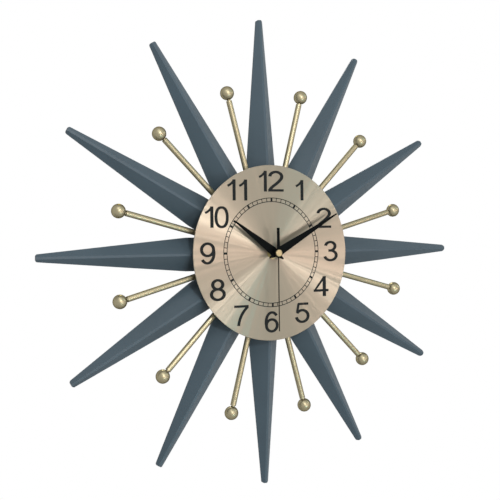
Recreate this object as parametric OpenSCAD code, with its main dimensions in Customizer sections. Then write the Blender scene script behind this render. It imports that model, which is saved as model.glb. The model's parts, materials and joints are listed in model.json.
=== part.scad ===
// Sunburst wall clock: painted spikes and ball-ended rods around a spun metal dial,
// driven by a battery quartz movement that sits in a pocket at the back of the hub.
// Sizes are in millimetres. The origin is the round entry of the hanging keyhole, on the wall plane,
// +Z is up and the dial faces -Y.

/* [Spikes] */
// Distance from the hand axis to the tip of a spike
spike_reach = 349; // [300:1:420]
// Width of a spike at its shoulder, just inside the dial's edge
spike_w = 49; // [40:0.5:52]
// Width of a spike at its blunt tip
spike_tip_w = 10.5; // [9:0.5:16]
// Height of the ridge above the flat back, at the shoulder
spike_ridge_h = 23; // [16:0.5:26]
// Width of the narrow flat that runs along the ridge
spike_ridge_flat = 3.5; // [2:0.5:6]
// Height of the upright side edge below the sloping facets
spike_edge_h = 2; // [1:0.5:4]
// Radius of the two corners at the tip
spike_tip_r = 3.5; // [1:0.5:4]
// Distance from the dial's edge inwards to the shoulder
spike_shoulder_in = 4; // [2:0.5:12]

/* [Rods] */
// Diameter of a rod
rod_d = 8.5; // [5:0.5:9]
// Diameter of the ball on a rod
ball_d = 20.5; // [15:0.5:30]
// Distance from the hand axis to the centre of a ball
ball_reach = 243; // [200:1:300]
// Height of the rods' axes above the rear plate
rod_h = 15.8; // [14:0.1:20]
// Depth to which a rod is plugged into the hub
rod_socket = 20; // [12:1:22]
// Diameter of the turned stud that joins a rod to its ball
stud_d = 5.5; // [3:0.5:7]
// Length of stud that shows between rod and ball
stud_gap = 1; // [0.5:0.5:3]
// Depth to which a stud enters its ball
stud_socket = 6; // [3:0.5:10]

/* [Hub] */
// Depth of the hub, from the rear plate to the dial
hub_depth = 32.6; // [30:0.1:40]
// Thickness of the hub's front web, which the movement is clamped to
web_t = 5; // [3:0.5:8]
// Least room around the movement's corners in the hub's pocket
pocket_room = 5; // [3:0.5:8]
// Distance that the hub reaches past the head of a hung screw
hub_rim = 7.5; // [5:0.5:12]
// Rim of the rear plate outside the spikes' screws
plate_rim = 8; // [5:0.5:12]
// Thickness of the rear plate
plate_t = 2; // [1.5:0.1:4]

/* [Dial] */
// Diameter of the dial
dial_d = 260; // [230:1:300]
// Thickness of the dial
dial_t = 1.5; // [1:0.1:3]
// Radius of the dial's softened front edge
dial_edge_r = 0.5; // [0.2:0.1:0.9]

/* [Hanger] */
// Land of the rear plate between the movement's opening and the keyhole's entry
keyhole_land = 7.5; // [5:0.5:12]
// Diameter of the keyhole's round entry, which passes a screw head
keyhole_d = 9; // [7:0.5:11]
// Width of the keyhole's slot, which holds a screw shank
keyhole_slot_w = 4.5; // [3.5:0.5:5.5]
// Distance from the centre of the entry up to the end of the slot
keyhole_rise = 12; // [8:0.5:14]
// Room beside a hung screw head in the slot across the hub's back
head_room = 5; // [2:0.5:5.5]
// Depth of that slot
head_slot_h = 13; // [8:0.5:14]

/* [Screws] */
// Diameter of a wood screw's shank
screw_d = 3; // [2.5:0.1:4]
// Diameter of a screw's countersunk head
screw_head_d = 5.6; // [5:0.1:7]
// Height of a screw's countersunk head
screw_head_h = 1.6; // [1:0.1:1.9]
// Length of a screw's cross recess, from end to end
recess_len = 3.2; // [2:0.1:4]
// Width of the recess's arms
recess_w = 0.7; // [0.4:0.1:1]
// Depth of the recess
recess_h = 1; // [0.5:0.1:1.5]
// Length of a screw that holds a spike
spike_screw_len = 14; // [8:1:18]
// Distance from the hub's rim to the inner screw of a spike
spike_screw_in = 7; // [5:0.5:12]
// Distance between the two screws of a spike
spike_screw_pitch = 9; // [8:0.5:11]
// Length of a screw that holds the hub
hub_screw_len = 11; // [6:1:12]
// Distance from the hub's rim inwards to the hub's screws
hub_screw_in = 14; // [8:0.5:20]

/* [Movement] */
// Thickness of the case's side walls
case_wall = 1.5; // [1:0.1:1.8]
// Thickness of the case's front wall
case_front_t = 1.8; // [1.2:0.1:2.5]
// Thickness of the case's rear cover
cover_t = 1.2; // [0.8:0.1:1.4]
// Radius of the case's corners
case_corner_r = 3; // [1:0.5:5]
// Diameter of the threaded bushing
bush_d = 7.9; // [7.5:0.1:9]
// Length of bushing that stands in front of the nut
bush_proud = 2.5; // [0:0.5:3]
// Thickness of the rubber gasket between case and web
gasket_t = 1; // [0.5:0.1:2]
// Diameter of the gasket
gasket_d = 22; // [16:1:30]
// Diameter of the brass washer on the dial
washer_d = 18; // [15:0.5:24]
// Thickness of the washer
washer_t = 0.8; // [0.5:0.1:1.5]
// Width of the hexagon nut across its flats
nut_w = 14; // [11:0.5:17]
// Height of the nut
nut_h = 3; // [2:0.5:3.5]
// Thickness of the case's wall in front of the battery
bay_floor_t = 0.9; // [0.6:0.1:2]
// Diameter of the battery
battery_d = 14.5; // [13:0.1:15]
// Length of the battery, with its terminal
battery_len = 50.5; // [48:0.1:52]
// Diameter of the battery's terminal
terminal_d = 5.5; // [4:0.1:7]
// Length of the battery's terminal
terminal_len = 1.3; // [0.8:0.1:2]
// Room for a contact at each end of the battery
contact_room = 1.25; // [0.8:0.05:2]
// Thickness of a contact's strip
contact_t = 0.4; // [0.2:0.05:0.6]
// Diameter of the setting knob
knob_d = 14; // [9:0.5:16]
// Thickness of the setting knob
knob_t = 3.6; // [2:0.1:5]

/* [Wheel train] */
// Thickness of every toothed wheel
wheel_t = 1; // [0.6:0.1:1.2]
// Free height between the layers of the train
layer_gap = 1; // [0.8:0.1:1]
// Module of the rotor's pinion and the intermediate wheel
rotor_module = 0.25; // [0.24:0.01:0.27]
// Module of the intermediate pinion and the seconds wheel
seconds_module = 0.28; // [0.27:0.01:0.29]
// Module of the seconds pinion and the third wheel
third_module = 0.25; // [0.24:0.01:0.25]
// Module of the minute pinion and the motion wheel
motion_module = 0.42; // [0.42:0.01:0.43]
// Diameter of the pins that the wheels turn on
pin_d = 1; // [0.8:0.05:1.05]
// Diameter of the seconds arbor
seconds_arbor_d = 1; // [0.8:0.05:1.1]
// Diameter of the minute arbor
minute_arbor_d = 3.2; // [2.8:0.1:3.4]
// Diameter of the hour tube
hour_tube_d = 5; // [4.6:0.1:5.5]
// Diameter of the motion wheel's arbor
motion_arbor_d = 2.4; // [1.8:0.1:2.6]
// Diameter of the motion wheel's front pivot
motion_pivot_d = 1.4; // [1:0.1:1.8]
// Length of a pinion past the wheel that it drives
leaf_over = 0.2; // [0.1:0.05:0.3]
// Free height between the cover and the first wheel
train_foot = 0.8; // [0.5:0.1:1.2]
// Free height between the last pinion and the case
train_shake = 1; // [0.5:0.1:1.5]
// Length of an arbor that shows past its hand
arbor_over = 0.4; // [0.2:0.1:0.8]

/* [Motor] */
// Diameter of the rotor's magnet
magnet_d = 6; // [4:0.5:6]
// Radial gap between the magnet and the stator
magnet_gap = 0.5; // [0.3:0.1:0.6]
// Thickness of the stator's sheet
stator_t = 1; // [0.6:0.1:1.2]
// Width of the stator
stator_w = 32; // [28:1:34]
// Width of the stator's two upright arms
stator_arm = 4; // [3:0.5:4.5]
// Distance from the rotor's axis down to the stator's lower edge
stator_below = 4.2; // [4:0.1:4.6]
// Width of the stator's core
core_w = 3; // [2:0.1:3.2]
// Diameter of the coil's flanges
coil_d = 6.4; // [6:0.1:6.6]
// Diameter of the bobbin's barrel
bobbin_d = 4.6; // [4.2:0.1:5]
// Length of the bobbin
coil_len = 22; // [18:1:22]
// Thickness of the bobbin's flanges
coil_flange_t = 1; // [0.5:0.1:1.5]
// Width of the circuit board
board_w = 7; // [5:0.5:7]
// Height of the circuit board
board_h = 22; // [16:1:26]
// Thickness of the circuit board
board_t = 1.2; // [0.8:0.1:1.6]

/* [Hands] */
// Length of the hour hand, from the axis to its tip
hour_len = 84; // [60:1:90]
// Length of the minute hand, from the axis to its tip
minute_len = 120; // [95:1:125]
// Length of the second hand, from the axis to its tip
second_len = 115; // [80:1:125]
// Length of the hour hand's tail
hour_tail = 16; // [8:1:20]
// Length of the minute hand's tail
minute_tail = 15; // [8:1:20]
// Length of the second hand's tail
second_tail = 37; // [15:1:50]
// Greatest width of the hour and minute hands
hand_w = 13; // [9:0.1:15]
// Distance from the axis to where those hands are widest
hand_widest = 5; // [3:0.5:8]
// Width of those hands at the tip
hand_tip_w = 1.9; // [0.8:0.1:3]
// Thickness of the sheet that the hands are cut from
hand_t = 0.8; // [0.5:0.1:1.2]
// Width of the second hand's pointer
second_w = 1.3; // [0.8:0.1:2]
// Width of the second hand's tail
second_tail_w = 4.5; // [2:0.1:6]
// Diameter of the second hand's boss
second_boss_d = 13.8; // [10:0.1:18]
// Diameter of the brass cap on the boss
cap_d = 11; // [6:0.1:13]
// Height of the brass cap
cap_h = 1.8; // [1:0.1:3]
// Height of the hour hand above the dial
hour_h = 9; // [9:0.5:11]
// Height of the minute hand above the hour hand
minute_rise = 4; // [3.5:0.5:6]
// Height of the second hand above the minute hand
second_rise = 4; // [3:0.5:6]
// Hour that the clock shows
show_hour = 10; // [0:1:11]
// Minute that the clock shows
show_minute = 10.25; // [0:0.25:59.75]
// Second that the clock shows
show_second = 30; // [0:0.1:59.9]

/* [Clearances] */
// Gap where two pieces seat on each other without touching
seat_gap = 0.2; // [0.1:0.05:0.4]
// Radial gap of a turning fit
run_gap = 0.05; // [0.02:0.01:0.1]
// Radial gap of a push fit
push_gap = 0.02; // [0.01:0.01:0.05]
// Gap kept between a spike and the rods beside it
rod_clear = 0.8; // [0.5:0.1:3]

/* [Hidden] */
$fn = 96;
hours = 12;
hour_step = 360 / hours;
small = 0.01;

// Radii
spike_half = spike_w / 2;
tip_half = spike_tip_w / 2;
rod_r = rod_d / 2;
ball_r = ball_d / 2;
stud_r = stud_d / 2;
dial_r = dial_d / 2;
bush_r = bush_d / 2;
battery_r = battery_d / 2;
pin_r = pin_d / 2;
screw_r = screw_d / 2;
screw_head_r = screw_head_d / 2;
keyhole_r = keyhole_d / 2;
seconds_arbor_r = seconds_arbor_d / 2;
minute_arbor_r = minute_arbor_d / 2;
hour_tube_r = hour_tube_d / 2;
bush_bore_r = hour_tube_r + run_gap;
motion_arbor_r = motion_arbor_d / 2;
motion_pivot_r = motion_pivot_d / 2;

// Case, from the battery that it holds, and hub, from the case and the hanger that it holds;
// the pocket is bored to a whole millimetre
bay_gap = 0.3;
bay_r = battery_r + bay_gap;
inner_half = battery_len / 2 + contact_room;
case_half = inner_half + case_wall;
pocket_r = ceil(sqrt(2) * (case_half - case_corner_r) + case_corner_r + pocket_room);
keyhole_up = pocket_r + keyhole_land + keyhole_r;
hub_r = keyhole_up + keyhole_rise + keyhole_r + hub_rim;
spike_screw_at = hub_r + spike_screw_in;
plate_r = spike_screw_at + spike_screw_pitch + plate_rim;

// Layers of the wheel train, as heights above the case's rear face
layer_step = wheel_t + layer_gap;
function layer(n) = cover_t + train_foot + n * layer_step;
function layer_top(n) = layer(n) + wheel_t;
last_layer = 5;
train_depth = layer_top(last_layer) + leaf_over + train_shake + case_front_t;
case_depth = max(train_depth, 2 * bay_r + bay_floor_t);
cavity_top = case_depth - case_front_t;
pivot_floor = cover_t / 3;
pivot_depth = case_front_t / 2;

// Distances from the wall to each layer
hub_rear = plate_t;
dial_rear = hub_rear + hub_depth;
dial_front = dial_rear + dial_t;
case_front = dial_rear - web_t - gasket_t;
case_rear = case_front - case_depth;
nut_rear = dial_front + washer_t;
bush_end = nut_rear + nut_h + bush_proud;
hour_rear = dial_front + hour_h;
minute_rear = hour_rear + minute_rise;
second_rear = minute_rear + second_rise;

// Angles of the hands, clockwise from 12
second_angle = show_second * 6;
minute_angle = show_minute * 6;
hour_angle = (show_hour + show_minute / 60) * hour_step;

// Outline of a spike, seen from the front with its tip up
shoulder_at = dial_r - spike_shoulder_in;
spike_slope = atan((spike_half - tip_half) / (spike_reach - shoulder_at));
tip_centre_y = spike_reach - spike_tip_r;
tip_centre_x = tip_half + spike_tip_r * tan(spike_slope) - spike_tip_r / cos(spike_slope);
mitre_gap = (rod_r + rod_clear) / cos(hour_step / 2);
root_at = hub_r * cos(hour_step / 2);
root_half = root_at * tan(hour_step / 2) - mitre_gap;
mitre_at = (spike_half + mitre_gap) / tan(hour_step / 2);
facet_h = spike_ridge_h - spike_edge_h;
facet_rate = facet_h / (spike_half - spike_ridge_flat / 2);
ridge_fall = facet_rate * tan(spike_slope);

// Tooth counts of the train, driver first
rotor_teeth = 10;
inter_teeth = 50;
inter_leaves = 8;
seconds_teeth = 48;
seconds_leaves = 8;
third_teeth = 64;
third_leaves = 8;
centre_teeth = 60;
minute_leaves = 12;
motion_teeth = 36;
motion_leaves = 10;
hour_teeth = 40;

// Tooth form, in modules above and below the pitch circle and in shares of the tooth pitch
tooth_top = 0.6;
tooth_bottom = 0.95;
tooth_tip_share = 0.16;
tooth_root_share = 0.52;

// Places of the arbors: distance from the driving axis and direction, clockwise from 12
inter_dist = seconds_module * (inter_leaves + seconds_teeth) / 2;
inter_dir = 0;
rotor_dist = rotor_module * (rotor_teeth + inter_teeth) / 2;
rotor_dir = -10;
third_dist = third_module * (seconds_leaves + third_teeth) / 2;
third_dir = -60;
centre_module = 2 * third_dist / (third_leaves + centre_teeth);
motion_dist = motion_module * (minute_leaves + motion_teeth) / 2;
motion_dir = 70;
hour_module = 2 * motion_dist / (motion_leaves + hour_teeth);
inter_at = polar(inter_dist, inter_dir);
rotor_at = inter_at + polar(rotor_dist, rotor_dir);
third_at = polar(third_dist, third_dir);
motion_at = polar(motion_dist, motion_dir);

// Battery bay, below the wheel train
battery_y = bay_r - inner_half;
battery_z = bay_r;
bay_top = battery_y + bay_r;
train_bottom = bay_top + case_wall;

// Motor, above the wheel train
stator_up = 0.75;
stator_z = layer(1) + stator_up;
stator_half = stator_w / 2;
stator_neck = 0.5;
core_y = inner_half - seat_gap - coil_d / 2;
stator_hole_r = magnet_d / 2 + magnet_gap;
window_low = rotor_at.y + stator_hole_r + stator_neck;
stator_low = rotor_at.y - stator_below;
post_r = 1.2;
board_gap = 1;
board_low = -5;

fixed_nodes = ["rear_plate", "hub_core", "dial", "rod_balls", "spike_screws", "hub_screws",
    "movement_case", "movement_cover", "rubber_gasket", "bushing_washer", "bushing_nut", "battery",
    "battery_contact_positive", "battery_contact_negative", "circuit_board", "coil_bobbin",
    "coil_winding", "stator"];
moving_nodes = ["rotor", "intermediate_wheel", "seconds_wheel", "third_wheel", "centre_wheel",
    "minute_arbor", "motion_wheel", "hour_wheel", "setting_knob", "hour_hand", "minute_hand",
    "second_hand", "hand_cap"];
spike_nodes = [for (i = [1:hours]) str("spike_", i)];
rod_nodes = [for (i = [1:hours]) str("rod_", i)];

paint = "#4b5d6a";
gold = "#b9ad8c";
champagne = "#cdb9a0";
black = "#101413";
brass = "#cdb56a";
wood = "#b58a5a";
steel = "#8d9196";
plastic = "#2a2c2e";
nylon = "#e6e2d6";

// Point at a distance and clockwise direction from 12
function polar(r, a) = r * [sin(a), cos(a)];

// Direction in which a driven wheel's tooth lies so that it meets a gap of its driver
function mesh_phase(n1, phase1, n2, dir) = dir + 180 - (0.5 - (dir - phase1) * n1 / 360) * 360 / n2;

// Puts what is drawn in the clock's face (x right, y up, z off the wall) in the part's frame
module face() {
    rotate([90, 0, 0]) translate([0, -keyhole_up, 0]) children();
}

// Turns what points up to a clockwise direction from 12
module aim(a) {
    rotate([0, 0, -a]) children();
}

// Puts what is drawn from the movement's rear face where the movement sits
module in_movement() {
    face() translate([0, 0, case_rear]) children();
}

// All space beyond a plane
module beyond(point, normal) {
    size = spike_reach;
    translate(point)
        rotate(a = acos(normal.z / norm(normal)), v = cross([0, 0, 1], normal))
            translate([-size, -size, 0]) cube([2 * size, 2 * size, size]);
}

// Tube along z
module tube(h, r_out, r_in) {
    difference() {
        cylinder(h = h, r = r_out);
        translate([0, 0, -1]) cylinder(h = h + 2, r = r_in);
    }
}

module rounded_square(w, h, r) {
    square([w - 2 * r, h], center = true);
    square([w, h - 2 * r], center = true);
    for (x = [-1, 1]) for (y = [-1, 1])
        translate([x * (w / 2 - r), y * (h / 2 - r)]) circle(r = r);
}

// Toothed wheel along z, with a tooth in the direction of its phase
module gear(n, m, h, phase) {
    r_tip = m * (n / 2 + tooth_top);
    r_root = m * (n / 2 - tooth_bottom);
    tooth = [[-tooth_root_share, r_root], [-tooth_tip_share, r_tip],
        [tooth_tip_share, r_tip], [tooth_root_share, r_root]];
    aim(phase) linear_extrude(h)
        polygon([for (i = [0:n - 1]) for (p = tooth) polar(p[1], (i + p[0] / 2) * 360 / n)]);
}

// Countersunk screw along z, head with a cross recess at z = 0
module screw(len) {
    point = screw_d;
    difference() {
        rotate_extrude() polygon([[0, 0], [screw_head_r, 0], [screw_r, screw_head_h],
            [screw_r, len - point], [0, len]]);
        for (a = [0, 90]) rotate([0, 0, a]) translate([-recess_len / 2, -recess_w / 2, -1])
            cube([recess_len, recess_w, recess_h + 1]);
    }
}

// Hole for a screw: countersunk through the plate
module screw_seat() {
    rise = screw_head_r - screw_r;
    translate([0, 0, -small]) rotate_extrude() polygon([[0, 0], [screw_head_r + seat_gap, 0],
        [screw_r + seat_gap, screw_head_h * (rise + seat_gap) / rise], [screw_r + seat_gap, plate_t + 1],
        [0, plate_t + 1]]);
}

// Pilot hole for a screw, from the rear plate's front
module screw_pilot(len) {
    translate([0, 0, plate_t - 1]) cylinder(h = len - plate_t + 1 + seat_gap, r = screw_r + run_gap);
}

// Repeats at both screw places of one spike
module at_spike_screws() {
    for (k = [0, 1]) translate([0, spike_screw_at + k * spike_screw_pitch, 0]) children();
}

// Repeats at every screw of the hub, midway between the spikes of even hours
module at_hub_screws() {
    for (i = [0:2:hours - 1]) aim((i + 1) * hour_step) translate([0, hub_r - hub_screw_in, 0]) children();
}

module rear_plate() {
    color(steel) face() difference() {
        cylinder(h = plate_t, r = plate_r);
        translate([0, 0, -1]) cylinder(h = plate_t + 2, r = pocket_r);
        translate([0, 0, -1]) linear_extrude(plate_t + 2) {
            translate([0, keyhole_up]) circle(r = keyhole_r);
            translate([-keyhole_slot_w / 2, keyhole_up]) square([keyhole_slot_w, keyhole_rise]);
            translate([0, keyhole_up + keyhole_rise]) circle(d = keyhole_slot_w);
        }
        for (i = [1:hours]) aim(i * hour_step) at_spike_screws() screw_seat();
        at_hub_screws() screw_seat();
    }
}

module hub_core() {
    color(wood) face() difference() {
        translate([0, 0, hub_rear]) cylinder(h = hub_depth, r = hub_r);
        translate([0, 0, hub_rear - 1]) cylinder(h = hub_depth - web_t + 1, r = pocket_r);
        translate([0, 0, hub_rear]) cylinder(h = hub_depth + 1, r = bush_r + seat_gap);
        translate([-keyhole_r - head_room, 0, hub_rear - 1])
            cube([2 * (keyhole_r + head_room), hub_r + 1, head_slot_h + 1]);
        for (i = [1:hours]) aim((i - 0.5) * hour_step)
            translate([0, hub_r - rod_socket, hub_rear + rod_h])
                rotate([-90, 0, 0]) cylinder(h = rod_socket + 1, r = rod_r + run_gap);
        at_hub_screws() screw_pilot(hub_screw_len);
    }
}

module spike_screws() {
    color(steel) face() for (i = [1:hours]) aim(i * hour_step) at_spike_screws() screw(spike_screw_len);
}

module hub_screws() {
    color(steel) face() at_hub_screws() screw(hub_screw_len);
}

module spike_outline() {
    side = [[root_half, root_at], [spike_half, mitre_at], [spike_half, shoulder_at],
        [tip_centre_x + spike_tip_r * cos(spike_slope), tip_centre_y + spike_tip_r * sin(spike_slope)],
        [tip_centre_x, spike_reach]];
    difference() {
        union() {
            for (s = [-1, 1]) one_side(s) {
                polygon(concat([[0, root_at]], side, [[0, spike_reach]]));
                translate([tip_centre_x, tip_centre_y]) circle(r = spike_tip_r);
            }
        }
        circle(r = hub_r + seat_gap);
    }
}

// Right half as drawn, or mirrored to the left
module one_side(s) {
    if (s > 0) children();
    else mirror([1, 0]) children();
}

module spike(i) {
    rim = [spike_half, shoulder_at, spike_edge_h];
    run = spike_reach - shoulder_at;
    facet = [run * facet_h, (spike_half - tip_half) * facet_h, run * (spike_half - spike_ridge_flat / 2)];
    color(paint) face() aim(i * hour_step) difference() {
        translate([0, 0, hub_rear]) difference() {
            linear_extrude(spike_ridge_h) spike_outline();
            for (s = [-1, 1])
                beyond([s * rim.x, rim.y, rim.z], [s * facet.x, facet.y, facet.z]);
            beyond([0, shoulder_at, spike_ridge_h], [0, ridge_fall, 1]);
        }
        at_spike_screws() screw_pilot(spike_screw_len);
    }
}

module rod(i) {
    rod_in = hub_r - rod_socket;
    rod_out = ball_reach - ball_r - stud_gap;
    color(gold) face() aim((i - 0.5) * hour_step) translate([0, 0, hub_rear + rod_h]) rotate([-90, 0, 0]) {
        translate([0, 0, rod_in]) cylinder(h = rod_out - rod_in, r = rod_r);
        translate([0, 0, rod_out]) cylinder(h = stud_gap + stud_socket, r = stud_r);
    }
}

module rod_balls() {
    color(gold) face() for (i = [1:hours]) aim((i - 0.5) * hour_step)
        translate([0, ball_reach, hub_rear + rod_h]) rotate([-90, 0, 0]) difference() {
            sphere(r = ball_r);
            translate([0, 0, -ball_r - 1]) cylinder(h = stud_socket + 1, r = stud_r + push_gap);
        }
}

module dial() {
    bush_hole = bush_r + seat_gap;
    color(champagne) face() translate([0, 0, dial_rear]) rotate_extrude() {
        translate([bush_hole, 0]) square([dial_r - dial_edge_r - bush_hole, dial_t]);
        translate([bush_hole, 0]) square([dial_r - bush_hole, dial_t - dial_edge_r]);
        translate([dial_r - dial_edge_r, dial_t - dial_edge_r]) circle(r = dial_edge_r);
    }
}

module rubber_gasket() {
    color(black) face() translate([0, 0, case_front]) tube(gasket_t, gasket_d / 2, bush_r + seat_gap);
}

module bushing_washer() {
    color(brass) face() translate([0, 0, dial_front]) tube(washer_t, washer_d / 2, bush_r + seat_gap);
}

module bushing_nut() {
    color(brass) face() translate([0, 0, nut_rear]) difference() {
        cylinder(h = nut_h, d = nut_w / cos(30), $fn = 6);
        translate([0, 0, -1]) cylinder(h = nut_h + 2, r = bush_r + run_gap);
    }
}

// Rear opening of the case, which the cover drops into
module cover_outline(gap) {
    half = inner_half + case_wall / 2 - gap;
    low = train_bottom - case_wall / 2 + gap;
    translate([-half, low]) square([2 * half, half - low]);
}

module movement_case() {
    color(plastic) in_movement() difference() {
        union() {
            linear_extrude(case_depth) rounded_square(2 * case_half, 2 * case_half, case_corner_r);
            cylinder(h = bush_end - case_rear, r = bush_r);
        }
        translate([0, 0, cavity_top]) cylinder(h = bush_end, r = bush_bore_r);
        translate([0, 0, -1]) linear_extrude(cover_t + 1) cover_outline(0);
        translate([-inner_half, train_bottom, cover_t - small])
            cube([2 * inner_half, inner_half - train_bottom, cavity_top - cover_t + small]);
        translate([-inner_half, battery_y, battery_z]) rotate([0, 90, 0])
            cylinder(h = 2 * inner_half, r = bay_r);
        translate([-inner_half, battery_y - bay_r, -1]) cube([2 * inner_half, 2 * bay_r, battery_z + 1]);
        translate([motion_at.x, motion_at.y, cavity_top - small])
            cylinder(h = pivot_depth, r = motion_pivot_r + run_gap);
    }
}

// Moulded pin with a thicker foot, standing on the cover
module cover_pin(at, foot_top, top) {
    translate([at.x, at.y, 0]) {
        cylinder(h = foot_top - run_gap, r = 2 * pin_r);
        cylinder(h = top, r = pin_r);
    }
}

module movement_cover() {
    color(nylon) in_movement() difference() {
        union() {
            linear_extrude(cover_t) cover_outline(run_gap);
            cover_pin(rotor_at, layer(0), stator_z + 2 * stator_t);
            cover_pin(inter_at, layer(0), layer_top(1));
            cover_pin(third_at, layer(2), layer_top(3));
            for (x = [-1, 1]) translate([x * (stator_half - stator_arm / 2), stator_low + post_r])
                cylinder(h = stator_z, r = post_r);
        }
        translate([motion_at.x, motion_at.y, -1]) cylinder(h = cover_t + 2, r = motion_arbor_r + run_gap);
        translate([0, 0, pivot_floor]) cylinder(h = cover_t, r = seconds_arbor_r + run_gap);
    }
}

module battery() {
    color("#3c4a58") in_movement() translate([-battery_len / 2, battery_y, battery_z]) rotate([0, 90, 0]) {
        cylinder(h = battery_len - terminal_len, r = battery_r);
        cylinder(h = battery_len, d = terminal_d);
    }
}

// Strip that stands against one end of the battery bay, with a spring dimple that meets the battery
module battery_contact(side) {
    strip_h = 10;
    strip_w = 6;
    dimple = contact_room - push_gap;
    translate([side * inner_half, battery_y, battery_z]) rotate([0, -90 * side, 0]) {
        translate([-strip_w / 2, -strip_h / 2, 0]) cube([strip_w, strip_h, contact_t]);
        cylinder(h = dimple, d = terminal_d);
    }
}

module battery_contact_positive() {
    color(steel) in_movement() battery_contact(1);
}

module battery_contact_negative() {
    color(steel) in_movement() battery_contact(-1);
}

module circuit_board() {
    chip = 4;
    color("#2f6b46") in_movement() translate([inner_half - board_gap - board_w, board_low, cover_t]) {
        cube([board_w, board_h, board_t]);
        translate([(board_w - chip) / 2, (board_h - chip) / 2, 0]) cube([chip, chip, 2 * board_t]);
    }
}

module stator() {
    half = stator_half;
    core_low = core_y - core_w / 2;
    color(steel) in_movement() translate([0, 0, stator_z]) linear_extrude(stator_t) difference() {
        translate([-half, stator_low]) square([2 * half, core_y + core_w / 2 - stator_low]);
        translate([-half + stator_arm, window_low]) square([2 * (half - stator_arm), core_low - window_low]);
        translate(rotor_at) circle(r = stator_hole_r);
    }
}

// Puts what is drawn along z on the coil's core
module on_core() {
    in_movement() translate([0, core_y, stator_z + stator_t / 2]) rotate([0, 90, 0])
        translate([0, 0, -coil_len / 2]) children();
}

module coil_bobbin() {
    color(nylon) on_core() difference() {
        union() {
            cylinder(h = coil_len, d = bobbin_d);
            for (z = [0, coil_len - coil_flange_t]) translate([0, 0, z])
                cylinder(h = coil_flange_t, d = coil_d);
        }
        translate([0, 0, coil_len / 2])
            cube([stator_t + 2 * seat_gap, core_w + 2 * seat_gap, coil_len + 2], center = true);
    }
}

module coil_winding() {
    wound = coil_len - 2 * coil_flange_t;
    color("#a4562c") on_core() translate([0, 0, coil_flange_t])
        tube(wound, coil_d / 2 - seat_gap, bobbin_d / 2);
}

// Wheel that turns on a moulded pin of the cover
module on_pin(at) {
    in_movement() translate([at.x, at.y, 0]) difference() {
        children();
        cylinder(h = case_depth, r = pin_r + run_gap);
    }
}

module rotor() {
    pinion_phase = mesh_phase(inter_teeth, 0, rotor_teeth, rotor_dir);
    magnet_low = stator_z - stator_t;
    color(steel) on_pin(rotor_at) {
        translate([0, 0, layer(0)]) gear(rotor_teeth, rotor_module, magnet_low - layer(0), pinion_phase);
        translate([0, 0, magnet_low]) cylinder(h = 3 * stator_t, d = magnet_d);
    }
}

module intermediate_wheel() {
    leaf_phase = mesh_phase(seconds_teeth, 0, inter_leaves, inter_dir);
    color(nylon) on_pin(inter_at) {
        translate([0, 0, layer(0)]) gear(inter_teeth, rotor_module, wheel_t, 0);
        translate([0, 0, layer_top(0)])
            gear(inter_leaves, seconds_module, layer_step + leaf_over, leaf_phase);
    }
}

module seconds_wheel() {
    arbor_low = pivot_floor + run_gap;
    arbor_top = second_rear + hand_t - case_rear;
    color(nylon) in_movement() {
        translate([0, 0, arbor_low]) cylinder(h = arbor_top - arbor_low, r = seconds_arbor_r);
        translate([0, 0, layer(1)]) gear(seconds_teeth, seconds_module, wheel_t, 0);
        translate([0, 0, layer_top(1)]) gear(seconds_leaves, third_module, layer_step + leaf_over, 0);
    }
}

module third_wheel() {
    color(nylon) on_pin(third_at) {
        translate([0, 0, layer(2)])
            gear(third_teeth, third_module, wheel_t, mesh_phase(seconds_leaves, 0, third_teeth, third_dir));
        translate([0, 0, layer_top(2)]) gear(third_leaves, centre_module, layer_step + leaf_over, 0);
    }
}

module centre_wheel() {
    phase = mesh_phase(third_leaves, 0, centre_teeth, third_dir + 180);
    color(nylon) in_movement() translate([0, 0, layer(3)]) difference() {
        gear(centre_teeth, centre_module, wheel_t, phase);
        translate([0, 0, -1]) cylinder(h = wheel_t + 2, r = minute_arbor_r + push_gap);
    }
}

module minute_arbor() {
    flange_t = 0.4;
    flange_r = 1.5 * minute_arbor_r;
    low = layer(3) - flange_t - run_gap;
    top = minute_rear + hand_t + arbor_over - case_rear;
    color(brass) in_movement() difference() {
        union() {
            translate([0, 0, low]) cylinder(h = flange_t, r = flange_r);
            translate([0, 0, low]) cylinder(h = top - low, r = minute_arbor_r);
            translate([0, 0, layer(4)]) gear(minute_leaves, motion_module, wheel_t + leaf_over, 0);
        }
        cylinder(h = bush_end + case_depth, r = seconds_arbor_r + run_gap);
    }
}

module motion_wheel() {
    phase = mesh_phase(minute_leaves, 0, motion_teeth, motion_dir);
    leaf_top = layer_top(5) + leaf_over;
    color(nylon) in_movement() translate([motion_at.x, motion_at.y, 0]) {
        translate([0, 0, -knob_t]) cylinder(h = layer(4) + knob_t, r = motion_arbor_r);
        translate([0, 0, layer(4)]) gear(motion_teeth, motion_module, wheel_t, phase);
        translate([0, 0, layer_top(4)]) gear(motion_leaves, hour_module, leaf_top - layer_top(4), 0);
        translate([0, 0, leaf_top])
            cylinder(h = cavity_top + pivot_depth - seat_gap - leaf_top, r = motion_pivot_r);
    }
}

module hour_wheel() {
    phase = mesh_phase(motion_leaves, 0, hour_teeth, motion_dir + 180);
    top = hour_rear + hand_t + arbor_over - case_rear;
    color(nylon) in_movement() difference() {
        union() {
            translate([0, 0, layer(5)]) gear(hour_teeth, hour_module, wheel_t, phase);
            translate([0, 0, layer(5)]) cylinder(h = top - layer(5), r = hour_tube_r);
        }
        cylinder(h = bush_end + case_depth, r = minute_arbor_r + run_gap);
    }
}

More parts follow.
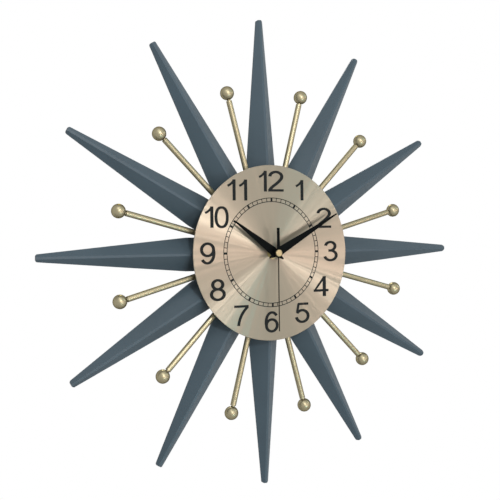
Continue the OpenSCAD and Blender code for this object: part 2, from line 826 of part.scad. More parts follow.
module setting_knob() {
    flutes = 24;
    flute_r = 0.6;
    color(plastic) in_movement() translate([motion_at.x, motion_at.y, -knob_t - seat_gap]) difference() {
        cylinder(h = knob_t, d = knob_d);
        translate([0, 0, seat_gap]) cylinder(h = knob_t + 1, r = motion_arbor_r + push_gap);
        for (i = [1:flutes]) aim(i * 360 / flutes) translate([0, knob_d / 2, -1])
            cylinder(h = knob_t + 2, r = flute_r);
    }
}

// Long kite of a hand that points up, with a blunt tip
module hand_outline(len, tail) {
    tail_end_w = hand_tip_w;
    polygon([[-hand_tip_w / 2, len], [hand_tip_w / 2, len], [hand_w / 2, hand_widest],
        [tail_end_w / 2, -tail], [-tail_end_w / 2, -tail], [-hand_w / 2, hand_widest]]);
}

// Hand of sheet metal on a short collet that pushes onto its arbor
module pushed_hand(len, tail, arbor_r) {
    collet_h = 1.8;
    collet_wall = 1.2;
    difference() {
        union() {
            linear_extrude(hand_t) hand_outline(len, tail);
            translate([0, 0, -collet_h]) cylinder(h = collet_h + hand_t, r = arbor_r + collet_wall);
        }
        translate([0, 0, -collet_h - 1]) cylinder(h = collet_h + 3, r = arbor_r + push_gap);
    }
}

module hour_hand() {
    color(black) face() translate([0, 0, hour_rear]) aim(hour_angle)
        pushed_hand(hour_len, hour_tail, hour_tube_r);
}

module minute_hand() {
    color(black) face() translate([0, 0, minute_rear]) aim(minute_angle)
        pushed_hand(minute_len, minute_tail, minute_arbor_r);
}

module second_hand() {
    sleeve_r = 1.2;
    sleeve_h = second_rise - 2 * hand_t;
    color(black) face() translate([0, 0, second_rear]) aim(second_angle) difference() {
        union() {
            linear_extrude(hand_t) {
                translate([-second_w / 2, 0]) square([second_w, second_len]);
                translate([-second_tail_w / 2, -second_tail]) square([second_tail_w, second_tail]);
            }
            cylinder(h = hand_t + seat_gap, d = second_boss_d);
            translate([0, 0, -sleeve_h]) cylinder(h = sleeve_h, r = sleeve_r);
        }
        translate([0, 0, -sleeve_h - 1]) cylinder(h = sleeve_h + 1 + hand_t, r = seconds_arbor_r + push_gap);
    }
}

// Turned cap with a softened rim
module hand_cap() {
    edge = cap_h / 2;
    color(brass) face() translate([0, 0, second_rear + hand_t + seat_gap]) rotate_extrude() {
        square([cap_d / 2 - edge, cap_h]);
        square([cap_d / 2, cap_h - edge]);
        intersection() {
            translate([cap_d / 2 - edge, cap_h - edge]) circle(r = edge);
            square([cap_d / 2, cap_h]);
        }
    }
}

rear_plate();
hub_core();
dial();
rod_balls();
spike_screws();
hub_screws();
movement_case();
movement_cover();
rubber_gasket();
bushing_washer();
bushing_nut();
battery();
battery_contact_positive();
battery_contact_negative();
circuit_board();
coil_bobbin();
coil_winding();
stator();
rotor();
intermediate_wheel();
seconds_wheel();
third_wheel();
centre_wheel();
minute_arbor();
motion_wheel();
hour_wheel();
setting_knob();
hour_hand();
minute_hand();
second_hand();
hand_cap();
for (i = [1:hours]) spike(i);
for (i = [1:hours]) rod(i);
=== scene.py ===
import json
import math

import bmesh
import bpy
from mathutils import Matrix, Vector
from mathutils.geometry import delaunay_2d_cdt


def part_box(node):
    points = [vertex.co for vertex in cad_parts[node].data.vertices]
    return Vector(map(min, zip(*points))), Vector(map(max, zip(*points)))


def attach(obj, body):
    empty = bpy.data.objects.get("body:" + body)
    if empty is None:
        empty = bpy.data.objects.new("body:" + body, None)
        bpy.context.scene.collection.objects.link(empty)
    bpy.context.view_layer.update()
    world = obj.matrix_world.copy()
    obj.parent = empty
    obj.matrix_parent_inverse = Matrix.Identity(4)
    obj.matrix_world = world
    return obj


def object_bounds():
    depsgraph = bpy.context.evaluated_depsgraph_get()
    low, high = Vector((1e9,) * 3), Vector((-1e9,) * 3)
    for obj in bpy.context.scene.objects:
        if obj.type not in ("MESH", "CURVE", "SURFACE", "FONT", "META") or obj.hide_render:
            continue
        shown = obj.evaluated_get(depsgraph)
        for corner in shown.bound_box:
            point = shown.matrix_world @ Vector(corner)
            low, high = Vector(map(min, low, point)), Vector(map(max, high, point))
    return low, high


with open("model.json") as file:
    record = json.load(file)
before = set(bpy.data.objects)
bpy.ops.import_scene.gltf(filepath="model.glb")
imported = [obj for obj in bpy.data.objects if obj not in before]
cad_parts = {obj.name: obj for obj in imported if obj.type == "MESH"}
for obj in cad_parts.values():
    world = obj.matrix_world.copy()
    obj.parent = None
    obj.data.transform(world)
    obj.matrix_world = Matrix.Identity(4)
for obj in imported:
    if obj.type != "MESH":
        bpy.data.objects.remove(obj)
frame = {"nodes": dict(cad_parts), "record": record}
cad_low, cad_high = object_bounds()
nodes = frame["nodes"]
scene = bpy.context.scene
MM = 0.001
HOURS = range(1, 13)
HOUR_DEGREES = 30
MINUTE_DEGREES = 6

# Places that the looks are set out from
dial_low, dial_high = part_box("dial")
DIAL_R = (dial_high.x - dial_low.x) / 2
AXIS_Z = (dial_high.z + dial_low.z) / 2
DIAL_FRONT = dial_low.y


def add_object(name, data):
    """New object with this data, in the scene."""
    thing = bpy.data.objects.new(name, data)
    scene.collection.objects.link(thing)
    return thing


# Materials

# Band that most values of a noise texture lie in
NOISE_LOW = 0.3
NOISE_HIGH = 0.7
# Places of the colour sockets on a mix node
MIX_A = 6
MIX_B = 7
MIX_OUT = 2


class Graph:
    """One procedural material: makes nodes, links them and sets the shader's own values."""

    def __init__(self, name, **values):
        self.material = bpy.data.materials.new(name)
        self.material.use_nodes = True
        self.tree = self.material.node_tree
        self.shader = self.tree.nodes["Principled BSDF"]
        self.output = self.tree.nodes["Material Output"]
        for key, value in values.items():
            self.shader.inputs[key.replace("_", " ")].default_value = value
        self.place = self.add("ShaderNodeTexCoord").outputs["Object"]

    def add(self, kind, **values):
        node = self.tree.nodes.new(kind)
        for key, value in values.items():
            setattr(node, key, value)
        return node

    def feed(self, source, target):
        """Links an output to a socket, or sets the socket to a plain value."""
        if hasattr(source, "is_linked"):
            self.tree.links.new(source, target)
        else:
            target.default_value = source

    def math(self, operation, a, b=0.0, c=0.0):
        node = self.add("ShaderNodeMath", operation=operation)
        for socket, value in zip(node.inputs, (a, b, c)):
            self.feed(value, socket)
        return node.outputs[0]

    def vector(self, x, y, z):
        node = self.add("ShaderNodeCombineXYZ")
        for socket, value in zip(node.inputs, (x, y, z)):
            self.feed(value, socket)
        return node.outputs[0]

    def scaled(self, vector, factors, shift=(0.0, 0.0, 0.0)):
        node = self.add("ShaderNodeVectorMath", operation="MULTIPLY_ADD")
        self.feed(vector, node.inputs[0])
        node.inputs[1].default_value = factors
        node.inputs[2].default_value = shift
        return node.outputs[0]

    def noise(self, scale, detail=2, rough=0.5, vector=None):
        node = self.add("ShaderNodeTexNoise")
        self.feed(self.place if vector is None else vector, node.inputs["Vector"])
        node.inputs["Scale"].default_value = scale
        node.inputs["Detail"].default_value = detail
        node.inputs["Roughness"].default_value = rough
        return node.outputs["Fac"]

    def ramp(self, value, low, high, out_low=0.0, out_high=1.0):
        node = self.add("ShaderNodeMapRange")
        for socket, v in zip(node.inputs, (value, low, high, out_low, out_high)):
            self.feed(v, socket)
        return node.outputs[0]

    def spread(self, noise, low=0.0, high=1.0):
        """Noise stretched to run from low to high."""
        return self.ramp(noise, NOISE_LOW, NOISE_HIGH, low, high)

    def mix(self, share, a, b):
        node = self.add("ShaderNodeMix", data_type="RGBA")
        self.feed(share, node.inputs[0])
        self.feed(a, node.inputs[MIX_A])
        self.feed(b, node.inputs[MIX_B])
        return node.outputs[MIX_OUT]

    def mottle(self, share, tone, dark, light):
        """A tone that goes from dark to light times itself."""
        return self.mix(share, shade(tone, dark), shade(tone, light))

    def colour(self, source):
        self.feed(source, self.shader.inputs["Base Color"])

    def rough(self, source):
        self.feed(source, self.shader.inputs["Roughness"])

    def bump(self, height, strength, depth):
        node = self.add("ShaderNodeBump")
        node.inputs["Strength"].default_value = strength
        node.inputs["Distance"].default_value = depth
        self.feed(height, node.inputs["Height"])
        self.feed(node.outputs[0], self.shader.inputs["Normal"])

    def from_axis(self):
        """Distances across and up from the hand axis."""
        split = self.add("ShaderNodeSeparateXYZ")
        self.feed(self.place, split.inputs[0])
        return split.outputs[0], self.math("SUBTRACT", split.outputs[2], AXIS_Z)

    def reach(self):
        """Distance from the hand axis."""
        across, up = self.from_axis()
        squares = self.math("ADD", self.math("MULTIPLY", across, across), self.math("MULTIPLY", up, up))
        return self.math("SQRT", squares)

    def turns(self):
        """Clockwise direction from 12, in turns from -0.5 to 0.5."""
        across, up = self.from_axis()
        return self.math("DIVIDE", self.math("ARCTAN2", across, up), 2 * math.pi)

    def outward(self):
        """Direction away from the hand axis, of length 1."""
        unit = self.add("ShaderNodeVectorMath", operation="NORMALIZE")
        self.feed(self.scaled(self.place, (1, 0, 1), (0.0, 0.0, -AXIS_Z)), unit.inputs[0])
        return unit.outputs[0]

    def rings(self, per_metre, detail, rough):
        """Fine rings round the hand axis."""
        along = self.math("MULTIPLY", self.reach(), per_metre)
        return self.noise(1, detail, rough, self.vector(along, 0.0, 0.0))


def rgb(r, g, b):
    return (r, g, b, 1.0)


def shade(colour, factor):
    return tuple(c * factor for c in colour[:3]) + (1.0,)


def paint_material():
    """Satin blue-grey paint: faint patches, orange peel and a trace of the wood's grain."""
    grain_per_turn = 900
    grain_per_metre = 14
    grain_share = 0.6
    peel_share = 0.4
    g = Graph("satin_paint", Specular_IOR_Level=0.3)
    patches = g.spread(g.noise(scale=14, detail=3))
    g.colour(g.mottle(patches, rgb(0.0475, 0.0730, 0.0915), dark=0.94, light=1.06))
    g.rough(g.spread(g.noise(scale=160, detail=3), low=0.42, high=0.52))
    across = g.math("MULTIPLY", g.turns(), grain_per_turn)
    along = g.math("MULTIPLY", g.reach(), grain_per_metre)
    grain = g.noise(scale=1, detail=3, rough=0.6, vector=g.vector(across, along, 0.0))
    peel = g.noise(scale=1300)
    height = g.math("ADD", g.math("MULTIPLY", grain, grain_share), g.math("MULTIPLY", peel, peel_share))
    g.bump(height, strength=0.25, depth=0.08 * MM)
    return g.material


def gold_material():
    """Satin champagne-gold plating."""
    g = Graph("champagne_plating", Metallic=1.0, Specular_Tint=rgb(0.06, 0.055, 0.05))
    g.colour(g.mottle(g.noise(scale=40, detail=3), rgb(0.32, 0.285, 0.183), dark=0.93, light=1.07))
    g.rough(g.spread(g.noise(scale=70), low=0.39, high=0.42))
    g.bump(g.noise(scale=900), strength=0.1, depth=0.001 * MM)
    return g.material


def dial_material():
    """Spun metal: fine rings round the hand axis spread the light into fans, and faint rays split these."""
    # The rays are noise read along a circle
    circle_r = 8
    circle_y = 3.3
    ray_gain = 3200
    g = Graph("spun_dial", Metallic=0.5, Anisotropic=1.0, Anisotropic_Rotation=0.25)
    rings = g.rings(per_metre=5200, detail=4, rough=0.7)
    g.colour(g.mottle(g.spread(rings), rgb(0.297, 0.263, 0.198), dark=0.95, light=1.05))
    g.rough(g.ramp(rings, low=0.2, high=0.8, out_low=0.28, out_high=0.38))
    circle = g.scaled(g.outward(), (circle_r, circle_r, circle_r), shift=(0.0, circle_y, 0.0))
    rays = g.noise(scale=1, detail=1, rough=0.6, vector=circle)
    rise = g.math("MULTIPLY", g.reach(), ray_gain)
    g.bump(g.math("MULTIPLY_ADD", rays, rise, rings), strength=0.2, depth=0.01 * MM)
    tangent = g.add("ShaderNodeTangent", direction_type="RADIAL", axis="Y")
    g.feed(tangent.outputs[0], g.shader.inputs["Tangent"])
    return g.material


def black_material():
    """Satin black paint on thin metal."""
    g = Graph("satin_black", Specular_IOR_Level=0.03)
    g.colour(g.mix(g.noise(scale=60), rgb(0.0015, 0.002, 0.002), rgb(0.003, 0.004, 0.004)))
    g.rough(g.spread(g.noise(scale=400), low=0.5, high=0.6))
    g.bump(g.noise(scale=3000), strength=0.1, depth=0.01 * MM)
    return g.material


def ink_material():
    """Black screen print."""
    g = Graph("black_ink", Specular_IOR_Level=0.1)
    g.colour(g.mix(g.noise(scale=500), rgb(0.006, 0.008, 0.008), rgb(0.010, 0.012, 0.012)))
    g.rough(g.spread(g.noise(scale=900), low=0.5, high=0.6))
    return g.material


def brass_material(name, tone, rim=None):
    """Turned brass; outside of rim, a distance from the hand axis, its colour is darkened as painted shade.
    """
    rim_blur = 0.3 * MM
    # A darker copy of the tone, used as painted shade on the cap's rim
    painted_rim_shade = shade(tone, 0.25)
    g = Graph(name, Metallic=1.0)
    brass_colour = g.mottle(g.noise(scale=90, detail=3), tone, dark=0.9, light=1.08)
    if rim:
        # Beyond rim the brass turns into the darker copy: painted shade on the cap's edge
        brass_colour = g.mix(g.ramp(g.reach(), rim - rim_blur, rim + rim_blur), brass_colour, painted_rim_shade)
    g.colour(brass_colour)
    rings = g.rings(per_metre=9000, detail=3, rough=0.6)
    g.rough(g.spread(rings, low=0.3, high=0.4))
    g.bump(rings, strength=0.15, depth=0.01 * MM)
    return g.material


def wood_material():
    """Plain turned wood, with its grain along X."""
    grain_scale = (12, 90, 90)
    g = Graph("hub_wood", IOR=1.45)
    grain = g.noise(scale=1, detail=5, rough=0.65, vector=g.scaled(g.place, grain_scale))
    g.colour(g.mix(g.spread(grain), rgb(0.33, 0.19, 0.09), rgb(0.52, 0.34, 0.18)))
    g.rough(g.spread(grain, low=0.55, high=0.7))
    g.bump(grain, strength=0.3, depth=0.1 * MM)
    return g.material


def metal_material(name, tone, low, high, scale):
    """Plated metal with a fine cloud of lighter and darker crystals."""
    g = Graph(name, Metallic=1.0)
    cells = g.add("ShaderNodeTexVoronoi")
    g.feed(g.place, cells.inputs["Vector"])
    cells.inputs["Scale"].default_value = scale
    grey = g.add("ShaderNodeRGBToBW")
    g.feed(cells.outputs["Color"], grey.inputs[0])
    g.colour(g.mottle(grey.outputs[0], tone, dark=0.9, light=1.08))
    g.rough(g.spread(g.noise(scale=scale * 3, detail=3), low, high))
    g.bump(g.noise(scale=scale * 8), strength=0.15, depth=0.03 * MM)
    return g.material


def plastic_material(name, tone, low, high):
    """Moulded plastic with a fine spark-eroded grain."""
    g = Graph(name, IOR=1.49)
    g.colour(g.mottle(g.noise(scale=50), tone, dark=0.92, light=1.08))
    g.rough(g.spread(g.noise(scale=700), low, high))
    g.bump(g.noise(scale=2600), strength=0.3, depth=0.03 * MM)
    return g.material


def copper_material():
    """Lacquered wire laid side by side along X."""
    wire_scale = 1600
    g = Graph("coil_wire", Metallic=1.0)
    wave = g.add("ShaderNodeTexWave", bands_direction="X")
    g.feed(g.place, wave.inputs["Vector"])
    wave.inputs["Scale"].default_value = wire_scale
    wires = wave.outputs["Fac"]
    g.colour(g.mix(wires, rgb(0.30, 0.11, 0.05), rgb(0.62, 0.27, 0.13)))
    g.rough(g.ramp(wires, low=0.0, high=1.0, out_low=0.4, out_high=0.25))
    g.bump(wires, strength=0.5, depth=0.05 * MM)
    return g.material


# After a tone come the least and the greatest roughness, and for plated metal the scale of its crystals
looks = {
    "spike_paint": paint_material(),
    "gold_metal": gold_material(),
    "dial_metal": dial_material(),
    "hand_black": black_material(),
    "brass": brass_material("turned_brass", rgb(0.42, 0.36, 0.20)),
    "hub_wood": wood_material(),
    "zinc_steel": metal_material("zinc_sheet", rgb(0.56, 0.57, 0.58), 0.3, 0.42, 160),
    "screw_steel": metal_material("zinc_screw", rgb(0.52, 0.53, 0.55), 0.25, 0.35, 900),
    "movement_black": plastic_material("black_plastic", rgb(0.018, 0.018, 0.02), 0.4, 0.55),
    "train_plastic": plastic_material("natural_plastic", rgb(0.72, 0.69, 0.6), 0.35, 0.5),
    "rubber": plastic_material("black_rubber", rgb(0.015, 0.015, 0.015), 0.7, 0.85),
    "battery_wrap": plastic_material("battery_sleeve", rgb(0.035, 0.055, 0.09), 0.2, 0.3),
    "contact_metal": metal_material("nickel_strip", rgb(0.62, 0.6, 0.56), 0.2, 0.3, 700),
    "board": plastic_material("green_laminate", rgb(0.02, 0.12, 0.05), 0.3, 0.4),
    "copper": copper_material(),
    "motor_steel": metal_material("motor_steel", rgb(0.42, 0.42, 0.43), 0.3, 0.4, 600),
}
INK = ink_material()
# Beyond this distance from the hand axis the cap's colour is darkened as painted shade
CAP_SHADE_R = 4.9 * MM
CAP_BRASS = brass_material("dull_brass_painted_rim_shade", rgb(0.28, 0.245, 0.14), CAP_SHADE_R)
for row in frame["record"]["subparts"]:
    mesh = nodes[row["node"]].data
    mesh.materials.clear()
    mesh.materials.append(looks[row["material_slot"]])
nodes["hand_cap"].data.materials[0] = CAP_BRASS


# Softened edges of the CAD nodes

WELD_GAP = 0.002 * MM


def soften(node, width, segments=2, angle=30):
    """Rounds the edges sharper than angle of a node that stays as the CAD made it."""
    part = nodes[node]
    weld = part.modifiers.new("weld", "WELD")
    weld.merge_threshold = WELD_GAP
    bevel = part.modifiers.new("soft_edges", "BEVEL")
    bevel.width = width
    bevel.segments = segments
    bevel.limit_method = "ANGLE"
    bevel.angle_limit = math.radians(angle)
    bevel.use_clamp_overlap = True
    part.modifiers.new("face_normals", "WEIGHTED_NORMAL")


for hour in HOURS:
    soften("spike_%d" % hour, width=0.9 * MM, segments=3, angle=25)
for name in ("hour_hand", "minute_hand", "second_hand"):
    soften(name, width=0.15 * MM)
for name in ("bushing_nut", "bushing_washer", "movement_cover", "setting_knob", "rear_plate"):
    soften(name, width=0.2 * MM)
soften("movement_case", width=0.4 * MM)


# Print on the dial

INK_PROUD = 0.05 * MM
INK_DEPTH = 0.07 * MM
NUMERAL_H = 30.5 * MM
NUMERAL_STRETCH = 1.13
NUMERAL_REACH = 105 * MM

# Figures are drawn in figure heights
STEM_HALF = 0.07
BAR_HALF = 0.06
MIDDLE = 0.4935
# A stroke whose ends are nearer than this is closed
SAME_POINT = 1e-6
# The 9 is the 6 turned half round this point
PIVOT = (0.3885, MIDDLE)


def arc(centre, radii, start, end, steps=28, power=2.0):
    """Points along an ellipse from one direction to another, in degrees anticlockwise from the right."""
    points = []
    for i in range(steps + 1):
        a = math.radians(start + (end - start) * i / steps)
        c, s = math.cos(a), math.sin(a)
        x = math.copysign(abs(c) ** (2 / power), c)
        y = math.copysign(abs(s) ** (2 / power), s)
        points.append((centre[0] + radii[0] * x, centre[1] + radii[1] * y))
    return points


def bend(p, q, r, steps=12):
    """Points along a curve that leaves p towards q and reaches r from q."""
    points = []
    for i in range(steps + 1):
        t = i / steps
        a, b, c = (1 - t) ** 2, 2 * t * (1 - t), t * t
        points.append((a * p[0] + b * q[0] + c * r[0], a * p[1] + b * q[1] + c * r[1]))
    return points


def ribbon(points, half=None):
    """Four-sided pieces of a stroke along points, broader where it runs upright unless half is given."""
    closed = math.dist(points[0], points[-1]) < SAME_POINT
    count = len(points)
    sides = []
    for i, p in enumerate(points):
        before = points[i - 1] if i else (points[-2] if closed else points[0])
        after = points[i + 1] if i + 1 < count else (points[1] if closed else points[-1])
        dx, dy = after[0] - before[0], after[1] - before[1]
        size = math.hypot(dx, dy)
        dx, dy = dx / size, dy / size
        h = half if half else BAR_HALF + (STEM_HALF - BAR_HALF) * abs(dy)
        sides.append(((p[0] - dy * h, p[1] + dx * h), (p[0] + dy * h, p[1] - dx * h)))
    return [[a[0], a[1], b[1], b[0]] for a, b in zip(sides, sides[1:])]


def bar(x0, x1, y, half):
    """A level stroke."""
    return [[(x0, y - half), (x1, y - half), (x1, y + half), (x0, y + half)]]


def stem(x, y0, y1, half):
    """An upright stroke."""
    return [[(x - half, y0), (x + half, y0), (x + half, y1), (x - half, y1)]]


def six():
    bowl = arc((0.392, 0.322), (0.263, 0.289), 0, 360, 48)
    back = arc((0.405, 0.49), (0.29, 0.463), 40, 205, 36)
    return ribbon(bowl) + ribbon(back)


def turned(faces):
    """The same figure turned half round."""
    return [[(2 * PIVOT[0] - x, 2 * PIVOT[1] - y) for x, y in face] for face in faces]


def figures():
    """Pieces of each figure."""
    zero = arc((0.385, MIDDLE), (0.2645, 0.46), 0, 360, 56, power=2.3)
    one_flag = bend((0.152, 0.695), (0.36, 0.79), (0.455, 0.975))
    two_knee = (0.30, 0.30)
    two_bowl = arc((0.372, 0.725), (0.253, 0.228), 178, -38)
    two_leg = bend((0.571, 0.585), (0.49, 0.46), two_knee)
    two_foot = bend(two_knee, (0.15, 0.18), (0.115, 0.06))
    three_top = arc((0.36, 0.745), (0.215, 0.212), 172, -82)
    three_low = arc((0.366, 0.287), (0.262, 0.242), 97, -170)
    four_slope = [(0.0177, 0.30), (0.12, 0.30), (0.47, 0.80), (0.47, 0.995)]
    five_neck = [(0.222, 0.95), (0.15, 0.50)]
    five_bowl = arc((0.385, 0.325), (0.272, 0.288), 150, -172, 40)
    seven_leg = bend((0.66, 0.90), (0.31, 0.54), (0.25, 0.0))
    eight_top = arc((0.385, 0.742), (0.207, 0.214), 0, 360, 44)
    eight_low = arc((0.385, 0.282), (0.263, 0.25), 0, 360, 48)
    return {
        "0": ribbon(zero),
        "1": stem(0.459, 0.0, 1.004, 0.076) + ribbon(one_flag, 0.055),
        "2": ribbon(two_bowl + two_leg[1:] + two_foot[1:]) + bar(0.042, 0.704, 0.059, 0.059),
        "3": ribbon(three_top) + ribbon(three_low) + bar(0.27, 0.40, 0.532, BAR_HALF),
        "4": stem(0.513, 0.0, 1.0, 0.078) + bar(0.0177, 0.7094, 0.2957, 0.0613) + [four_slope],
        "5": bar(0.19, 0.674, 0.928, 0.0585) + ribbon(five_neck, 0.055) + ribbon(five_bowl),
        "6": six(),
        "7": bar(0.065, 0.70, 0.928, 0.058) + ribbon(seven_leg, 0.063),
        "8": ribbon(eight_top) + ribbon(eight_low),
        "9": turned(six()),
    }


def printed(name, faces):
    """One closed film of ink from overlapping flat pieces, in metres across and up from the hand axis."""
    keep_covered = 1
    join_within = 1e-7
    points, index = [], []
    for face in faces:
        index.append(list(range(len(points), len(points) + len(face))))
        points += [Vector(p) for p in face]
    flat, _, tris, _, _, of_faces = delaunay_2d_cdt(points, [], index, keep_covered, join_within)
    film = bmesh.new()
    verts = [film.verts.new((p.x, DIAL_FRONT - INK_PROUD, AXIS_Z + p.y)) for p in flat]
    for t, covered in zip(tris, of_faces):
        if covered:
            film.faces.new([verts[i] for i in t])
    grown = bmesh.ops.extrude_face_region(film, geom=list(film.faces))
    moved = [v for v in grown["geom"] if isinstance(v, bmesh.types.BMVert)]
    bmesh.ops.translate(film, vec=(0, INK_DEPTH, 0), verts=moved)
    bmesh.ops.recalc_face_normals(film, faces=list(film.faces))
    mesh = bpy.data.meshes.new(name)
    film.to_mesh(mesh)
    film.free()
    mesh.materials.append(INK)
    piece = add_object(name, mesh)
    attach(piece, "frame")


# Step from the first figure to the second, in figure heights
PAIR_STEP = {"10": 0.532, "11": 0.555, "12": 0.545}
# How far each numeral stands off its even place, in millimetres across and up
NUDGE = {
    1: (-4.5, 1.9), 2: (0.0, -1.5), 3: (-2.5, 0.2), 4: (-6.4, -0.5), 5: (-2.2, -0.3), 6: (-3.1, 2.7),
    7: (-1.0, 0.7), 8: (-0.8, 1.0), 9: (-2.0, 1.5), 10: (-0.8, 0.7), 11: (-5.4, 1.5), 12: (-0.8, 0.8),
}
# Breadth of each figure against the plain drawing of it
BREADTH = {"2": 1.17, "3": 1.16, "4": 1.13, "5": 1.11, "6": 1.02, "7": 1.10, "8": 1.13, "9": 1.06}
FIGURES = figures()


def numeral(hour):
    """Pieces of one upright numeral, centred where its hour lies."""
    text = str(hour)
    faces = []
    for place, character in enumerate(text):
        shift = PAIR_STEP.get(text, 0.0) * place
        breadth = BREADTH.get(character, 1.0)
        faces += [[(x * breadth + shift, y) for x, y in face] for face in FIGURES[character]]
    xs = [p[0] for face in faces for p in face]
    centre = (min(xs) + max(xs)) / 2
    angle = math.radians(HOUR_DEGREES * hour)
    across, rise = NUDGE[hour]
    at_x = NUMERAL_REACH * math.sin(angle) + across * MM
    at_y = NUMERAL_REACH * math.cos(angle) + rise * MM
    wide = NUMERAL_H * NUMERAL_STRETCH
    set_out = []
    for face in faces:
        set_out.append([(at_x + (x - centre) * wide, at_y + (y - MIDDLE) * NUMERAL_H) for x, y in face])
    return set_out


printed("dial_numerals", [face for hour in HOURS for face in numeral(hour)])

# Minute track: two thin circles with a mark for each minute and a broad one for each hour
TRACK_OUT = 80.6 * MM
TRACK_IN = 75.2 * MM
TRACK_SHIFT = (-0.7 * MM, 0.7 * MM)
TRACK_STEPS = 180
LINE_HALF = 0.55 * MM
HOUR_MARK_HALF = 1.6 * MM
track = []
for reach in (TRACK_OUT, TRACK_IN):
    track += ribbon(arc((0, 0), (reach, reach), 0, 360, TRACK_STEPS), LINE_HALF)
for minute in range(60):
    a = math.radians(MINUTE_DEGREES * minute)
    half = LINE_HALF if minute % 5 else HOUR_MARK_HALF
    ends = [(reach * math.sin(a), reach * math.cos(a)) for reach in (TRACK_IN, TRACK_OUT)]
    track += ribbon(ends, half)
track = [[(x + TRACK_SHIFT[0], y + TRACK_SHIFT[1]) for x, y in face] for face in track]
printed("dial_minute_track", track)


# Camera at the photograph's viewing angle

VIEW_TURN = math.radians(-28.7353)
VIEW_RISE = math.radians(1.1637)
VIEW_ROLL = math.radians(-0.7671)
VIEW_DISTANCE = 11.199 * DIAL_R
VIEW_TARGET = Vector((-0.2865 * DIAL_R, DIAL_FRONT, AXIS_Z + 0.033 * DIAL_R))
VIEW_NEAREST = 0.05
VIEW_FURTHEST = 50
PICTURE = 500
FOCAL_PIXELS = 994.44
HALF_PIXEL = 0.5 / PICTURE
SENSOR = 36.0

back = Vector((
    math.sin(VIEW_TURN) * math.cos(VIEW_RISE),
    -math.cos(VIEW_TURN) * math.cos(VIEW_RISE),
    math.sin(VIEW_RISE),
))
level = (-back).cross(Vector((0, 0, 1))).normalized()
upright = level.cross(-back)
right = math.cos(VIEW_ROLL) * level + math.sin(VIEW_ROLL) * upright
up = -math.sin(VIEW_ROLL) * level + math.cos(VIEW_ROLL) * upright
camera = add_object("camera", bpy.data.cameras.new("camera"))
turn = Matrix((right, up, back)).transposed().to_4x4()
camera.matrix_world = Matrix.Translation(VIEW_TARGET + back * VIEW_DISTANCE) @ turn
camera.data.sensor_fit = "HORIZONTAL"
camera.data.sensor_width = SENSOR
camera.data.lens = SENSOR * FOCAL_PIXELS / PICTURE
camera.data.shift_x = -HALF_PIXEL
camera.data.shift_y = HALF_PIXEL
camera.data.clip_start = VIEW_NEAREST
camera.data.clip_end = VIEW_FURTHEST
scene.camera = camera


# Studio: soft lamps, white background and a pale floor

FAR = 1.8
NEAR = 1.0
FAR_SIZE = 0.2
NEAR_SIZE = 0.5
WHITE = (1.0, 1.0, 1.0)
WARM = (1.0, 0.74, 0.68)
COOL = (0.15, 0.85, 1.0)


def lamp(name, direction, distance, power, tint):
    """Square soft box that faces the dial."""
    light = bpy.data.lights.new(name, "AREA")
    light.shape = "SQUARE"
    light.size = FAR_SIZE if distance == FAR else NEAR_SIZE
    light.energy = power
    light.color = tint
    box = add_object(name, light)
    aim = Vector(direction).normalized()
    box.location = Vector((0, DIAL_FRONT, AXIS_Z)) + aim * distance
    box.rotation_mode = "QUATERNION"
    box.rotation_quaternion = (-aim).to_track_quat("-Z", "Y")


# Name, direction across and up as seen from the front, distance, power and tint
SOFT_BOXES = (
    ("key_soft_box", -0.15, 0.31, FAR, 12.0, WHITE),
    ("low_soft_box", 0.15, -0.35, FAR, 4.4, WHITE),
    ("level_soft_box", -0.15, -0.02, FAR, 2.6, WARM),
    ("front_soft_box", 0.35, 0.05, FAR, 2.2, WARM),
    ("right_soft_box", 0.62, -0.02, FAR, 2.0, WARM),
    ("side_soft_box", 0.90, 0.30, FAR, 1.8, WHITE),
    ("high_soft_box", 0.65, 0.55, FAR, 1.0, COOL),
    ("floor_soft_box", 0.20, -0.50, FAR, 1.8, COOL),
    ("top_soft_box", -0.40, 0.70, NEAR, 2.0, WHITE),
)
for name, across, rise, distance, power, tint in SOFT_BOXES:
    ahead = math.sqrt(1 - across ** 2 - rise ** 2)
    lamp(name, (across, -ahead, rise), distance, power, tint)
# Direction of the lamp behind the clock: across, back and up
BEHIND = (0.25, 0.70, 0.66)
lamp("back_soft_box", BEHIND, FAR, power=10.0, tint=WHITE)


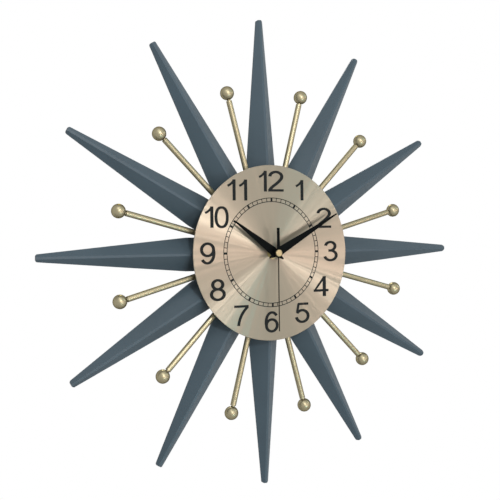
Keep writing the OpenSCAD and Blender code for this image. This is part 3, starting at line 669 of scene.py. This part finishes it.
def white_to_sight(tree, ambient):
    """Strength that is 1 for what is seen or mirrored, and a plain level for the light on the object."""
    path = tree.nodes.new("ShaderNodeLightPath")
    seen = path.outputs["Is Camera Ray"]
    for ray in ("Is Glossy Ray", "Is Transmission Ray"):
        either = tree.nodes.new("ShaderNodeMath")
        either.operation = "MAXIMUM"
        tree.links.new(seen, either.inputs[0])
        tree.links.new(path.outputs[ray], either.inputs[1])
        seen = either.outputs[0]
    strength = tree.nodes.new("ShaderNodeMapRange")
    tree.links.new(seen, strength.inputs["Value"])
    strength.inputs["To Min"].default_value = ambient
    strength.inputs["To Max"].default_value = 1.0
    return strength.outputs[0]


SKY_LEVEL = 0.5
world = bpy.data.worlds.new("studio")
scene.world = world
world.use_nodes = True
sky = world.node_tree.nodes["Background"]
sky.inputs["Color"].default_value = rgb(1.0, 1.0, 1.0)
world.node_tree.links.new(white_to_sight(world.node_tree, SKY_LEVEL), sky.inputs["Strength"])

FLOOR_DROP = 0.9
FLOOR_R = 4.0
FLOOR_SIDES = 96
FLOOR_LEVEL = 0.35
FADE_START = 0.4
FADE_END = 2.2
floor_mesh = bpy.data.meshes.new("floor")
disc = bmesh.new()
bmesh.ops.create_circle(disc, cap_ends=True, segments=FLOOR_SIDES, radius=FLOOR_R)
disc.to_mesh(floor_mesh)
disc.free()
floor = add_object("floor", floor_mesh)
floor.location = (0, 0, cad_low.z - FLOOR_DROP)


def floor_material():
    """Pale floor below the clock, which fades into the white background further off."""
    g = Graph("pale_floor", Base_Color=rgb(0.86, 0.86, 0.86), Roughness=0.7)
    glow = g.add("ShaderNodeEmission")
    g.feed(white_to_sight(g.tree, FLOOR_LEVEL), glow.inputs["Strength"])
    length = g.add("ShaderNodeVectorMath", operation="LENGTH")
    g.feed(g.place, length.inputs[0])
    blend = g.add("ShaderNodeMixShader")
    g.feed(g.ramp(length.outputs["Value"], FADE_START, FADE_END), blend.inputs[0])
    g.feed(g.shader.outputs[0], blend.inputs[1])
    g.feed(glow.outputs[0], blend.inputs[2])
    g.feed(blend.outputs[0], g.output.inputs["Surface"])
    return g.material


floor_mesh.materials.append(floor_material())
scene.view_settings.view_transform = "Standard"
